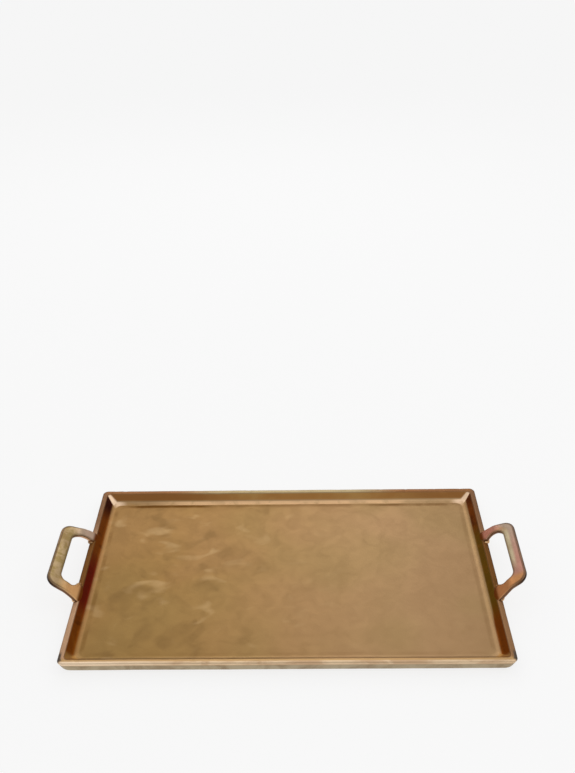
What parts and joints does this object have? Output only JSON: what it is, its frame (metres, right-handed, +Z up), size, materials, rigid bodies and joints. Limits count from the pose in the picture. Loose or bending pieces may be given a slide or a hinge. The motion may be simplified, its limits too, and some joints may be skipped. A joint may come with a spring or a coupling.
{
  "type": "serving tray",
  "caption": "Shallow rectangular cast serving tray with sloping inner walls and a raised loop handle at each short end.",
  "frame": {"origin": "on the table, under the middle of the pan", "axes": "+X along the tray's length through the right-hand handle, +Y across the width towards the rear, +Z up"},
  "size_m": [0.5614, 0.2994, 0.0436],
  "materials": {
    "pan_brass": "aged, satin, mottled cast brass",
    "handle_brass": "satin, hand-worn brass",
    "filler_brass": "dressed braze filler",
    "pad_felt": "pressed felt"
  },
  "bodies": {
    "root": {"tray_pan": "pan_brass", "handle_left": "handle_brass", "handle_right": "handle_brass", "braze_bead_left_front": "filler_brass", "braze_bead_left_rear": "filler_brass", "braze_bead_right_front": "filler_brass", "braze_bead_right_rear": "filler_brass", "pad_left_front": "pad_felt", "pad_left_rear": "pad_felt", "pad_right_front": "pad_felt", "pad_right_rear": "pad_felt"}
  },
  "joints": []
}
